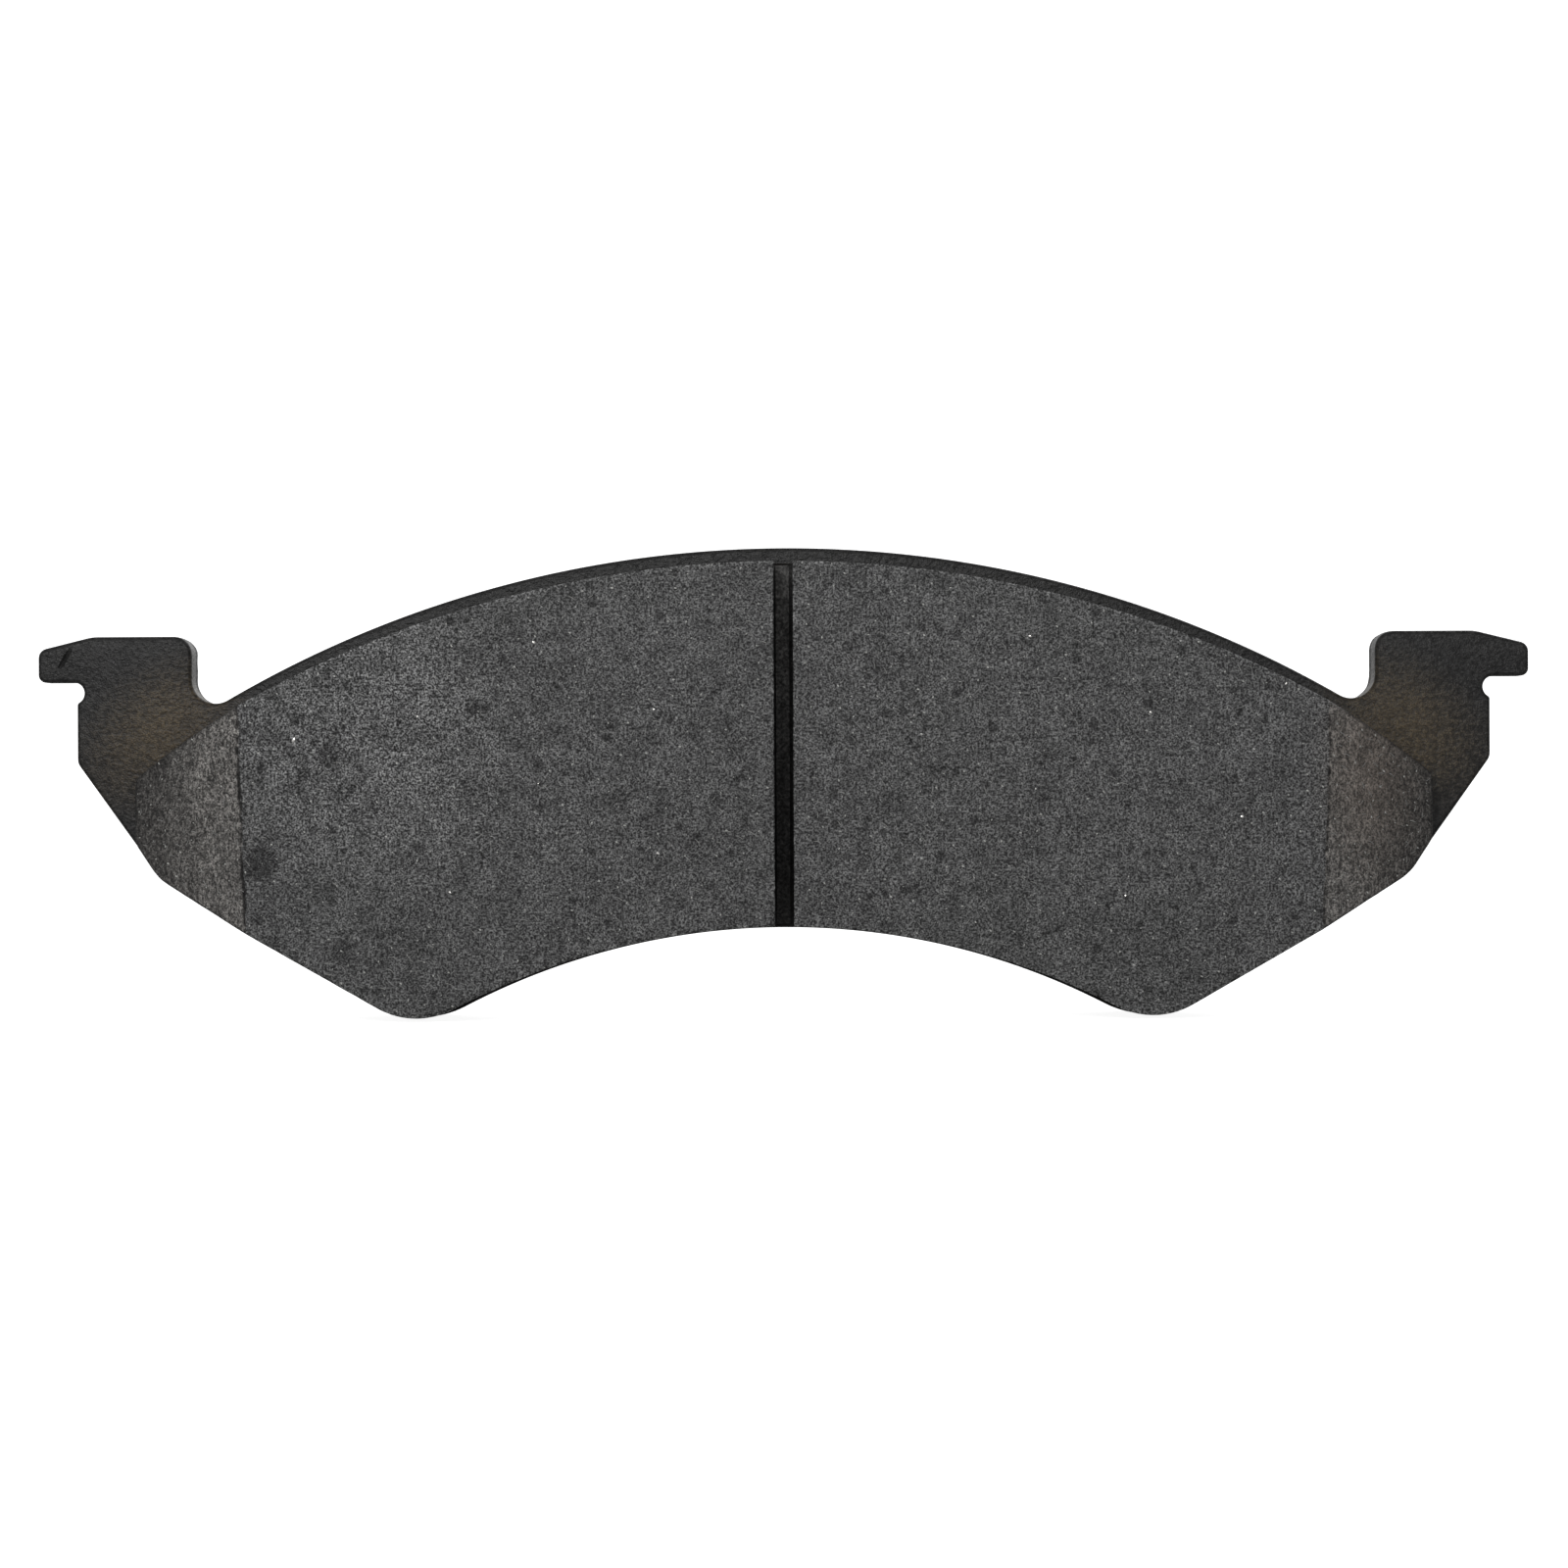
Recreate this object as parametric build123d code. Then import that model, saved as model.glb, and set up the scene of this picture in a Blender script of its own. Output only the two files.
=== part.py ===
"""Disc brake pad for a floating caliper: stamped hammer-head backing plate, moulded lining and bonded shim.

The pad stands upright. +X runs along the pad, +Z points radially outward from the disc's axis, and the
lining's rubbing face looks towards -Y. The origin is the middle of the shim's back face, on the radius
where the piston pushes. Depths are counted from that back face towards the disc. Sizes are millimetres.
"""

from build123d import *
from math import cos, radians, sin, sqrt, tan
import os

# Disc and lining
LINING_OUTER_RADIUS = 122.3
LINING_INNER_RADIUS = 82.26
LINING_END_X = 72.2
LINING_END_CORNER = 1.5
LINING_FLANK_CORNER = 6.0
LINING_FOOT_CORNER = 8.7
EFFECTIVE_RADIUS = (LINING_OUTER_RADIUS + LINING_INNER_RADIUS) / 2
DISC_AXIS_Z = -EFFECTIVE_RADIUS

# Backing plate
PLATE_OUTER_RADIUS = 124.34
PLATE_INNER_RADIUS = 78.15
INNER_ARC_CENTRE_Z = -98.62
FOOT_SLOPE = 29.74
FOOT_CORNER_X = 40.5
PLATE_FOOT_CORNER = 10.0
FLANK_SLOPE = 54.5
FLANK_CORNER_X = 69.52
FLANK_CORNER = 12.0

# Hammer-head ears
EAR_SIDE_X = 79.18
EAR_SIDE_BOTTOM_Z = -1.72
EAR_SIDE_CORNER = 1.5
EAR_INNER_X = 66.33
EAR_NOTCH_RADIUS = 2.64
EAR_TOP_Z = 12.45
EAR_TOP_CORNER = 2.0
HOOK_TIP_X = 83.53
HOOK_SLOPE_START_X = 77.5
HOOK_SLOPE = 13.9
HOOK_UNDERSIDE_Z = 7.35
HOOK_SLOPE_CORNER = 5.0
HOOK_UPPER_CORNER = 1.1
HOOK_LOWER_CORNER = 0.85
RELIEF_RADIUS = 1.2
RELIEF_DEEPEST_X = 78.4
RELIEF_BLEND = 0.8

# Gaps between the lining's edge and the plate's edge
FLANK_INSET = 0.45
FOOT_INSET = 0.63
INNER_ARC_INSET = 0.45

# Layers, from the shim's back face towards the disc
SHIM_RUBBER = 0.1
SHIM_STEEL = 0.5
SHIM_ADHESIVE = 0.1
PLATE_THICKNESS = 5.5
BOND_FILM = 0.2
UNDERLAYER = 2.0
FRICTION_DEPTH = 8.3

# Slot and end chamfers of the friction material
SLOT_WIDTH = 2.1
CHAMFER_START_X = 59.37
CHAMFER_START_Z = -7.65
CHAMFER_LEAN = 2.1
CHAMFER_ANGLE = 30.4

# Moulding holes and locating pips, all on the effective radius
MOULDING_HOLE_RADIUS = 4.0
MOULDING_HOLES_X = (-50.0, -24.0, 24.0, 50.0)
PIP_RADIUS = 2.5
PIP_HEIGHT = 0.65
PIPS_X = (-37.0, 37.0)
PIP_CLEARANCE = 0.3

# Shim outline
SHIM_OUTER_RADIUS = 122.9
SHIM_END_X = 64.5
SHIM_END_CORNER = 4.0
SHIM_FOOT_INSET = 1.4


def on_arc(x, radius, centre_z):
    """Point at x on the upper side of a circle centred on the pad's middle plane."""
    return (x, centre_z + sqrt(radius**2 - x**2))


def arc(x_from, x_to, radius, centre_z):
    """Arc between two places along the pad, on such a circle."""
    middle = on_arc((x_from + x_to) / 2, radius, centre_z)
    return ThreePointArc(on_arc(x_from, radius, centre_z), middle, on_arc(x_to, radius, centre_z))


def foot_line(inset):
    """Height of the foot's slanted edge at x = 0, and its slope, for an edge set in by inset."""
    slope = tan(radians(FOOT_SLOPE))
    corner_z = on_arc(FOOT_CORNER_X, PLATE_INNER_RADIUS, INNER_ARC_CENTRE_Z)[1]
    return corner_z - slope * FOOT_CORNER_X + inset / cos(radians(FOOT_SLOPE)), slope


def flank_line(inset):
    """Height of the flank's edge at x = 0, and its slope, for an edge set in by inset."""
    slope = tan(radians(FLANK_SLOPE))
    foot_z, foot_slope = foot_line(0)
    corner_z = foot_z + foot_slope * FLANK_CORNER_X
    return corner_z - slope * FLANK_CORNER_X + inset / cos(radians(FLANK_SLOPE)), slope


def crossing(first, second):
    """Point where two lines, each a height at x = 0 and a slope, meet."""
    x = (second[0] - first[0]) / (first[1] - second[1])
    return (x, first[0] + first[1] * x)


def arc_crossing(line, radius, centre_z):
    """Point where a rising line leaves the inner arc, on the side of positive x."""
    height, slope = line[0] - centre_z, line[1]
    a = 1 + slope**2
    b = height * slope
    x = (-b + sqrt(b**2 - a * (height**2 - radius**2))) / a
    return (x, line[0] + slope * x)


def rounded(face, corners):
    """The face with each listed corner, a point and a radius, rounded."""
    for point, radius in corners:
        vertex = face.vertices().sort_by_distance(Vector(*point, 0))[0]
        face = fillet(vertex, radius)
    return face


def both_sides(half):
    """The right half of an outline joined to its mirror image."""
    return half + mirror(half, about=Plane.YZ)


def slab(outline, depth, thickness):
    """An outline made solid, starting at a depth below the back face and running towards the disc."""
    return extrude(Plane.XZ.offset(depth) * outline, thickness, dir=(0, -1, 0))


def studs(places_x, radius, depth, thickness):
    """Round studs on the effective radius, at the given places along the pad."""
    centres = [on_arc(x, EFFECTIVE_RADIUS, DISC_AXIS_Z) for x in places_x]
    return slab(Sketch() + [Pos(*centre) * Circle(radius) for centre in centres], depth, thickness)


def plate_outline():
    """Outline of the backing plate: arched body, sloped feet and flanks, and a hooked ear at each end."""
    side_bottom = (EAR_SIDE_X, EAR_SIDE_BOTTOM_Z)
    notch = on_arc(EAR_INNER_X, PLATE_OUTER_RADIUS, DISC_AXIS_Z)
    inner_top = (EAR_INNER_X, EAR_TOP_Z)
    slope_start = (HOOK_SLOPE_START_X, EAR_TOP_Z)
    tip_top_z = EAR_TOP_Z - (HOOK_TIP_X - HOOK_SLOPE_START_X) * tan(radians(HOOK_SLOPE))
    tip_top = (HOOK_TIP_X, tip_top_z)
    tip_bottom = (HOOK_TIP_X, HOOK_UNDERSIDE_Z)
    relief_x = RELIEF_DEEPEST_X + RELIEF_RADIUS
    relief_z = HOOK_UNDERSIDE_Z - RELIEF_RADIUS
    relief_drop = sqrt(RELIEF_RADIUS**2 - (relief_x - EAR_SIDE_X) ** 2)
    relief_end = (EAR_SIDE_X, relief_z - relief_drop)
    flank = crossing(flank_line(0), foot_line(0))
    foot = arc_crossing(foot_line(0), PLATE_INNER_RADIUS, INNER_ARC_CENTRE_Z)
    edges = [
        arc(0, EAR_INNER_X, PLATE_OUTER_RADIUS, DISC_AXIS_Z),
        Polyline(notch, inner_top, slope_start, tip_top, tip_bottom, (relief_x, HOOK_UNDERSIDE_Z)),
        ThreePointArc((relief_x, HOOK_UNDERSIDE_Z), (RELIEF_DEEPEST_X, relief_z), relief_end),
        Polyline(relief_end, side_bottom, flank, foot),
        arc(foot[0], 0, PLATE_INNER_RADIUS, INNER_ARC_CENTRE_Z),
        Line(on_arc(0, PLATE_INNER_RADIUS, INNER_ARC_CENTRE_Z), on_arc(0, PLATE_OUTER_RADIUS, DISC_AXIS_Z)),
    ]
    half = rounded(make_face(edges), [
        (notch, EAR_NOTCH_RADIUS),
        (inner_top, EAR_TOP_CORNER),
        (slope_start, HOOK_SLOPE_CORNER),
        (tip_top, HOOK_UPPER_CORNER),
        (tip_bottom, HOOK_LOWER_CORNER),
        (relief_end, RELIEF_BLEND),
        (side_bottom, EAR_SIDE_CORNER),
        (flank, FLANK_CORNER),
        (foot, PLATE_FOOT_CORNER),
    ])
    return both_sides(half)


def lining_outline(outer_radius, end_x, end_corner, inset):
    """Outline that follows the plate inside its edge: arched, with upright ends and sloped feet.

    inset holds how far the flank, the foot and the inner arc lie inside the plate's edge.
    """
    flank_inset, foot_inset, arc_inset = inset
    inner_radius = PLATE_INNER_RADIUS + arc_inset
    flank_z, flank_slope = flank_line(flank_inset)
    end_top = on_arc(end_x, outer_radius, DISC_AXIS_Z)
    flank = crossing((flank_z, flank_slope), foot_line(foot_inset))
    foot = arc_crossing(foot_line(foot_inset), inner_radius, INNER_ARC_CENTRE_Z)
    foot_z, foot_slope = foot_line(foot_inset)
    if end_x > flank[0]:
        end_points = [end_top, (end_x, flank_z + flank_slope * end_x), flank, foot]
        corners = [(end_points[1], end_corner), (flank, LINING_FLANK_CORNER)]
    else:
        end_points = [end_top, (end_x, foot_z + foot_slope * end_x), foot]
        corners = [(end_points[1], end_corner)]
    edges = [
        arc(0, end_x, outer_radius, DISC_AXIS_Z),
        Polyline(*end_points),
        arc(foot[0], 0, inner_radius, INNER_ARC_CENTRE_Z),
        Line(on_arc(0, inner_radius, INNER_ARC_CENTRE_Z), on_arc(0, outer_radius, DISC_AXIS_Z)),
    ]
    half = rounded(make_face(edges), [(end_top, end_corner), *corners, (foot, LINING_FOOT_CORNER)])
    return both_sides(half)


def backing_plate(depth):
    """Stamped steel plate, with moulding holes and half-sheared locating pips."""
    plate = slab(plate_outline(), depth, PLATE_THICKNESS)
    plate -= studs(MOULDING_HOLES_X, MOULDING_HOLE_RADIUS, depth, PLATE_THICKNESS)
    plate += studs(PIPS_X, PIP_RADIUS, depth - PIP_HEIGHT, PIP_HEIGHT)
    plate -= studs(PIPS_X, PIP_RADIUS, depth + PLATE_THICKNESS - PIP_HEIGHT, PIP_HEIGHT)
    return plate


def bond_film(outline, depth):
    """Cured adhesive on the plate, open where the underlayer runs through it."""
    film = slab(outline, depth, BOND_FILM)
    film -= studs(MOULDING_HOLES_X, MOULDING_HOLE_RADIUS, depth, BOND_FILM)
    return film - studs(PIPS_X, PIP_RADIUS, depth, BOND_FILM)


def underlayer(outline, plate_depth):
    """Insulating layer under the friction material, with plugs that fill the plate's holes and dimples."""
    front = plate_depth + PLATE_THICKNESS
    layer = slab(outline, front + BOND_FILM, UNDERLAYER)
    plug_length = PLATE_THICKNESS + BOND_FILM
    layer += studs(MOULDING_HOLES_X, MOULDING_HOLE_RADIUS, plate_depth, plug_length)
    return layer + studs(PIPS_X, PIP_RADIUS, front - PIP_HEIGHT, PIP_HEIGHT + BOND_FILM)


def friction_block(outline, depth):
    """Right-hand block of friction material, with its slot wall and its end chamfer."""
    slot_wall = Plane.YZ.offset(SLOT_WIDTH / 2)
    block = split(slab(outline, depth, FRICTION_DEPTH), bisect_by=slot_wall, keep=Keep.TOP)
    lean, angle = radians(CHAMFER_LEAN), radians(CHAMFER_ANGLE)
    chamfer = Plane(
        origin=(CHAMFER_START_X, -(depth + FRICTION_DEPTH), CHAMFER_START_Z),
        z_dir=(cos(lean) * sin(angle), -cos(angle), -sin(lean) * sin(angle)),
    )
    return split(block, bisect_by=chamfer, keep=Keep.BOTTOM)


def shim_layer(depth, thickness):
    """One layer of the shim, open around the plate's locating pips."""
    outline = lining_outline(SHIM_OUTER_RADIUS, SHIM_END_X, SHIM_END_CORNER, [SHIM_FOOT_INSET] * 3)
    return slab(outline, depth, thickness) - studs(PIPS_X, PIP_RADIUS + PIP_CLEARANCE, depth, thickness)


lining = lining_outline(
    LINING_OUTER_RADIUS, LINING_END_X, LINING_END_CORNER, [FLANK_INSET, FOOT_INSET, INNER_ARC_INSET]
)
shim_depths = [0, SHIM_RUBBER, SHIM_RUBBER + SHIM_STEEL, 2 * SHIM_RUBBER + SHIM_STEEL]
plate_depth = shim_depths[-1] + SHIM_ADHESIVE
underlayer_front = plate_depth + PLATE_THICKNESS + BOND_FILM + UNDERLAYER
right_block = friction_block(lining, underlayer_front)

nodes = {
    "shim_outer_rubber": shim_layer(shim_depths[0], SHIM_RUBBER),
    "shim_steel": shim_layer(shim_depths[1], SHIM_STEEL),
    "shim_inner_rubber": shim_layer(shim_depths[2], SHIM_RUBBER),
    "shim_adhesive": shim_layer(shim_depths[3], SHIM_ADHESIVE),
    "backing_plate": backing_plate(plate_depth),
    "bond_film": bond_film(lining, plate_depth + PLATE_THICKNESS),
    "underlayer": underlayer(lining, plate_depth),
    "friction_block_right": right_block,
    "friction_block_left": mirror(right_block, about=Plane.YZ),
}

os.makedirs("parts", exist_ok=True)
for name, shape in nodes.items():
    export_step(shape, f"parts/{name}.step")
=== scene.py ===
# A disc brake pad, standing on its two feet with the rubbing face towards -Y.
# Its pieces are made in the order in which the pad is put together.

import bisect
import math

import bmesh
import bpy
from mathutils import Matrix, Vector, noise


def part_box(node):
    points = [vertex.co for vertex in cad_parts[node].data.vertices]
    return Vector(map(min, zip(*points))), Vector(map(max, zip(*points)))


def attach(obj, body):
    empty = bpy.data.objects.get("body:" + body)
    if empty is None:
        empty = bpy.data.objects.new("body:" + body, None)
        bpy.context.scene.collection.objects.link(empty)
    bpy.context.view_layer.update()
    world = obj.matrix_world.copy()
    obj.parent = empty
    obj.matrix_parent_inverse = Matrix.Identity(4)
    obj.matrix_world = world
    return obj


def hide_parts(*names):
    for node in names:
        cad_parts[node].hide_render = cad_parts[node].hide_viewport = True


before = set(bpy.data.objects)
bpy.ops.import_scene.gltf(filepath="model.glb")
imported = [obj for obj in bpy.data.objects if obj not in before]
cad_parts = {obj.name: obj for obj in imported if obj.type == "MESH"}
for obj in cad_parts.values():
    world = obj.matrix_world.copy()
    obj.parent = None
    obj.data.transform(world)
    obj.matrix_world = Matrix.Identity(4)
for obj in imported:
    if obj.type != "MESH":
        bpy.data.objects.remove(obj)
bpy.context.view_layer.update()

# ------------------------------------------------------------------------------------------------
# Backing plate
# A blank of 5.5 mm hot-rolled steel, punched out in one stroke: the edge is rolled over on the
# front, sheared smooth below that and torn rough at the back. It is powder coated satin black.

MM = 0.001
DISC_AXIS_Z = -102.28
INNER_ARC_CENTRE_Z = -98.62
PLATE_OUTER_RADIUS = 124.34
PLATE_INNER_RADIUS = 78.15
FOOT_SLOPE = math.radians(29.74)
FOOT_EDGE_HEIGHT = -54.973
FLANK_X = 69.52
FLANK_SLOPE = math.radians(54.5)
FOOT_ROUNDING = 10.0
FLANK_ROUNDING = 12.0
EAR_INNER_X = 66.33
EAR_SIDE_X = 79.18
EAR_SIDE_BOTTOM_Z = -1.72
EAR_TOP_Z = 12.45
EAR_NOTCH_ROUNDING = 2.64
HOOK_SLOPE_START_X = 77.5
HOOK_TIP_X = 83.53
HOOK_TIP_Z = 10.96
HOOK_UNDERSIDE_Z = 7.35
RELIEF_RADIUS = 1.2
RELIEF_CENTRE = (79.6, 6.15)
EAR_INNER_ROUNDING = 2.0
HOOK_SLOPE_ROUNDING = 5.0
HOOK_UPPER_ROUNDING = 1.1
HOOK_LOWER_ROUNDING = 0.85
RELIEF_ROUNDING = 0.4
EAR_SIDE_ROUNDING = 1.5
OUTLINE_STEP = 0.6
HOLE_STEPS = 40
MOULDING_HOLE_RADIUS = 4.0
MOULDING_HOLES_X = (-50.0, -24.0, 24.0, 50.0)
PIP_RADIUS = 2.5
PIP_HEIGHT = 0.65
PIP_TAPER = 0.08
PIPS_X = (-37.0, 37.0)
EFFECTIVE_RADIUS = 102.28
DIE_ROLL_WIDTH = 0.38
DIE_ROLL_DEPTH = 0.5
DIE_ROLL_STEPS = 5
SHEARED_DEPTH = 3.3
TEAR_DEPTH = 0.035
TEAR_UNEVENNESS = 0.03
TEAR_STEP = 0.25
TEAR_GROWTH = 2.2
BACK_EDGE_BREAK = 0.12
STAIN_X, STAIN_Z = 69.5, 1.8
STAIN_SIZE = (13, 9, 9)
STAIN_TILT = math.radians(38)
SCRATCH_X, SCRATCH_Z = -80.5, 10.0
SCRATCH_SIZE = (1.8, 2, 0.34)
SCRATCH_TILT = math.radians(-60)


def box_mm(node):
    """Lowest and highest corner of a CAD node, in millimetres."""
    low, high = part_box(node)
    return low / MM, high / MM


def arc_points(centre, radius, start, end, step=OUTLINE_STEP):
    """Points along an arc between two angles, both ends included."""
    count = max(3, math.ceil(abs(end - start) * radius / step))
    angles = [start + (end - start) * i / count for i in range(count + 1)]
    return [(centre[0] + radius * math.cos(a), centre[1] + radius * math.sin(a)) for a in angles]


def rounded_corner(before, corner, after, radius):
    """Points of the arc that rounds a corner between two straight edges."""
    corner = Vector(corner)
    back = (Vector(before) - corner).normalized()
    ahead = (Vector(after) - corner).normalized()
    half = back.angle(ahead) / 2
    centre = corner + (back + ahead).normalized() * radius / math.sin(half)
    first = corner + back * radius / math.tan(half) - centre
    last = corner + ahead * radius / math.tan(half) - centre
    start = math.atan2(first.y, first.x)
    turn = (math.atan2(last.y, last.x) - start + math.pi) % (2 * math.pi) - math.pi
    return arc_points(centre, radius, start, start + turn, min(OUTLINE_STEP, radius / 4))


def foot_height(x, inset):
    """Height of the foot's slanted edge, set in by inset."""
    return FOOT_EDGE_HEIGHT + x * math.tan(FOOT_SLOPE) + inset / math.cos(FOOT_SLOPE)


def flank_height(x, inset):
    """Height of the steeper flank's edge, set in by inset."""
    corner = foot_height(FLANK_X, 0)
    return corner + (x - FLANK_X) * math.tan(FLANK_SLOPE) + inset / math.cos(FLANK_SLOPE)


def flank_corner(flank_inset, foot_inset):
    """Point where the flank's edge meets the foot's edge."""
    gap = flank_height(0, flank_inset) - foot_height(0, foot_inset)
    x = gap / (math.tan(FOOT_SLOPE) - math.tan(FLANK_SLOPE))
    return (x, foot_height(x, foot_inset))


def foot_and_inner_arc(rounding, foot_inset, arc_inset):
    """Points from the rounded foot along the arched inner edge to the pad's middle."""
    arc_radius = PLATE_INNER_RADIUS + arc_inset
    slope = math.tan(FOOT_SLOPE)
    height = foot_height(0, foot_inset + rounding) - INNER_ARC_CENTRE_Z
    a, b = 1 + slope**2, height * slope
    x = (-b + math.sqrt(b**2 - a * (height**2 - (arc_radius + rounding) ** 2))) / a
    centre = (x, foot_height(x, foot_inset + rounding))
    meet = math.atan2(INNER_ARC_CENTRE_Z - centre[1], -centre[0])
    foot = arc_points(centre, rounding, FOOT_SLOPE - math.pi / 2, meet)
    return foot + arc_points((0, INNER_ARC_CENTRE_Z), arc_radius, meet + math.pi, math.pi / 2)[1:]


def subdivided(points, step=OUTLINE_STEP):
    """The same line with no two neighbours further apart than a step."""
    dense = []
    for here, there in zip(points, points[1:]):
        count = max(1, math.ceil(math.dist(here, there) / step))
        dense += [tuple(Vector(here).lerp(Vector(there), i / count)) for i in range(count)]
    return dense + [points[-1]]


def both_halves(half):
    """Closed outline from its right half, which runs clockwise from top middle to bottom middle."""
    half = subdivided(half)
    return half + [(-x, z) for x, z in reversed(half[1:-1])]


def plate_outline():
    """Outline of the plate: arched body, hooked ears, steep flanks and sloped feet."""
    notch_reach = PLATE_OUTER_RADIUS + EAR_NOTCH_ROUNDING
    notch_x = EAR_INNER_X - EAR_NOTCH_ROUNDING
    notch = (notch_x, DISC_AXIS_Z + math.sqrt(notch_reach**2 - notch_x**2))
    towards_axis = math.atan2(DISC_AXIS_Z - notch[1], -notch[0])
    inner_top = (EAR_INNER_X, EAR_TOP_Z)
    slope_start = (HOOK_SLOPE_START_X, EAR_TOP_Z)
    tip_top = (HOOK_TIP_X, HOOK_TIP_Z)
    tip_bottom = (HOOK_TIP_X, HOOK_UNDERSIDE_Z)
    relief_drop = math.asin((RELIEF_CENTRE[0] - EAR_SIDE_X) / RELIEF_RADIUS)
    relief = arc_points(RELIEF_CENTRE, RELIEF_RADIUS, math.pi / 2, 1.5 * math.pi - relief_drop, 0.2)
    side_bottom = (EAR_SIDE_X, EAR_SIDE_BOTTOM_Z)
    flank = flank_corner(0, 0)
    half = arc_points((0, DISC_AXIS_Z), PLATE_OUTER_RADIUS, math.pi / 2, towards_axis + math.pi)
    half += arc_points(notch, EAR_NOTCH_ROUNDING, towards_axis, 0, 0.25)[1:]
    half += rounded_corner((EAR_INNER_X, notch[1]), inner_top, slope_start, EAR_INNER_ROUNDING)
    half += rounded_corner(inner_top, slope_start, tip_top, HOOK_SLOPE_ROUNDING)
    half += rounded_corner(slope_start, tip_top, tip_bottom, HOOK_UPPER_ROUNDING)
    half += rounded_corner(tip_top, tip_bottom, (RELIEF_CENTRE[0], HOOK_UNDERSIDE_Z), HOOK_LOWER_ROUNDING)
    half += relief[:-2]
    half += rounded_corner(relief[-2], relief[-1], side_bottom, RELIEF_ROUNDING)
    half += rounded_corner(relief[-1], side_bottom, flank, EAR_SIDE_ROUNDING)
    half += rounded_corner(side_bottom, flank, (0, foot_height(0, 0)), FLANK_ROUNDING)
    half += foot_and_inner_arc(FOOT_ROUNDING, 0, 0)
    return both_halves(half)


def set_in(outline, inset):
    """A closed outline moved inwards by a distance, or by one distance for each point."""
    insets = inset if isinstance(inset, list) else [inset] * len(outline)
    moved = []
    for i, (here, distance) in enumerate(zip(outline, insets)):
        along = Vector(outline[(i + 1) % len(outline)]) - Vector(outline[i - 1])
        inward = Vector((along.y, -along.x)).normalized()
        moved.append(tuple(Vector(here) + inward * distance))
    return moved


def ring(bm, outline, y):
    """Vertices of an outline at one depth, or at one depth for each point."""
    depths = y if isinstance(y, list) else [y] * len(outline)
    return [bm.verts.new((x * MM, depth * MM, z * MM)) for (x, z), depth in zip(outline, depths)]


def wall(bm, rings, material=0):
    """Faces between each ring and the next one."""
    for first, second in zip(rings, rings[1:]):
        for i in range(len(first)):
            j = (i + 1) % len(first)
            face = bm.faces.new((first[i], first[j], second[j], second[i]))
            face.material_index = material


def cap(bm, rings, material=0):
    """Flat face inside the first ring and outside any others."""
    edges = []
    for loop in rings:
        for i, vertex in enumerate(loop):
            pair = (vertex, loop[(i + 1) % len(loop)])
            edges.append(bm.edges.get(pair) or bm.edges.new(pair))
    made = bmesh.ops.triangle_fill(bm, use_beauty=True, edges=edges)
    for item in made["geom"]:
        if isinstance(item, bmesh.types.BMFace):
            item.material_index = material


def on_effective_radius(x):
    """Centre of a feature on the radius where the piston pushes."""
    return (x, DISC_AXIS_Z + math.sqrt(EFFECTIVE_RADIUS**2 - x**2))


def circle(x, radius):
    """Outline of a round feature on the effective radius."""
    turns = [2 * math.pi * i / HOLE_STEPS for i in range(HOLE_STEPS)]
    cx, cz = on_effective_radius(x)
    return [(cx + radius * math.sin(t), cz + radius * math.cos(t)) for t in turns]


def finished_piece(bm, name, materials, smooth_angle=math.radians(40)):
    """Mesh object from a bmesh, with outward normals, smooth except across its sharp edges."""
    bmesh.ops.recalc_face_normals(bm, faces=bm.faces)
    mesh = bpy.data.meshes.new(name)
    bm.to_mesh(mesh)
    bm.free()
    for material in materials:
        mesh.materials.append(material)
    mesh.set_sharp_from_angle(angle=smooth_angle)
    piece = bpy.data.objects.new(name, mesh)
    bpy.context.scene.collection.objects.link(piece)
    return piece


def add_node(material, kind, inputs=None, **settings):
    """One shader node, with its settings, and its inputs given as values or as sockets to link."""
    node = material.node_tree.nodes.new(kind)
    for name, value in settings.items():
        setattr(node, name, value)
    for key, value in (inputs or {}).items():
        if isinstance(value, bpy.types.NodeSocket):
            material.node_tree.links.new(value, node.inputs[key])
        else:
            node.inputs[key].default_value = value
    return node


def new_material(name, roughness, specular):
    """Material with its shader, and the object's own coordinates for its patterns."""
    material = bpy.data.materials.new(name)
    material.use_nodes = True
    shader = material.node_tree.nodes["Principled BSDF"]
    shader.inputs["Roughness"].default_value = roughness
    shader.inputs["Specular IOR Level"].default_value = specular
    place = add_node(material, "ShaderNodeTexCoord").outputs["Object"]
    return material, shader, place


def noise_of(material, place, size, detail, stretch=(1, 1, 1)):
    """Noise between 0 and 1 whose patches are about size millimetres, stretched along the axes."""
    scale = [1 / (size * MM * s) for s in stretch]
    mapped = add_node(material, "ShaderNodeMapping", {"Vector": place, "Scale": scale})
    inputs = {"Vector": mapped.outputs[0], "Scale": 1.0, "Detail": detail}
    return add_node(material, "ShaderNodeTexNoise", inputs).outputs["Fac"]


def ramp(material, value, stops):
    """Colours or levels looked up by a value, given as pairs of position and level."""
    node = add_node(material, "ShaderNodeValToRGB", {"Fac": value})
    elements = node.color_ramp.elements
    for (position, _), element in zip(stops, list(elements)):
        element.position = position
    for position, _ in stops[2:]:
        elements.new(position)
    for (_, level), element in zip(stops, elements):
        element.color = (*level, 1) if isinstance(level, tuple) else (level, level, level, 1)
    return node.outputs["Color"]


def mixed(material, factor, first, second, blend="MIX"):
    """Two colours mixed by a factor."""
    node = add_node(material, "ShaderNodeMix", data_type="RGBA", blend_type=blend)
    for key, value in ((0, factor), (6, first), (7, second)):
        if isinstance(value, bpy.types.NodeSocket):
            material.node_tree.links.new(value, node.inputs[key])
        else:
            node.inputs[key].default_value = (*value, 1) if isinstance(value, tuple) else value
    return node.outputs[2]


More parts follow.
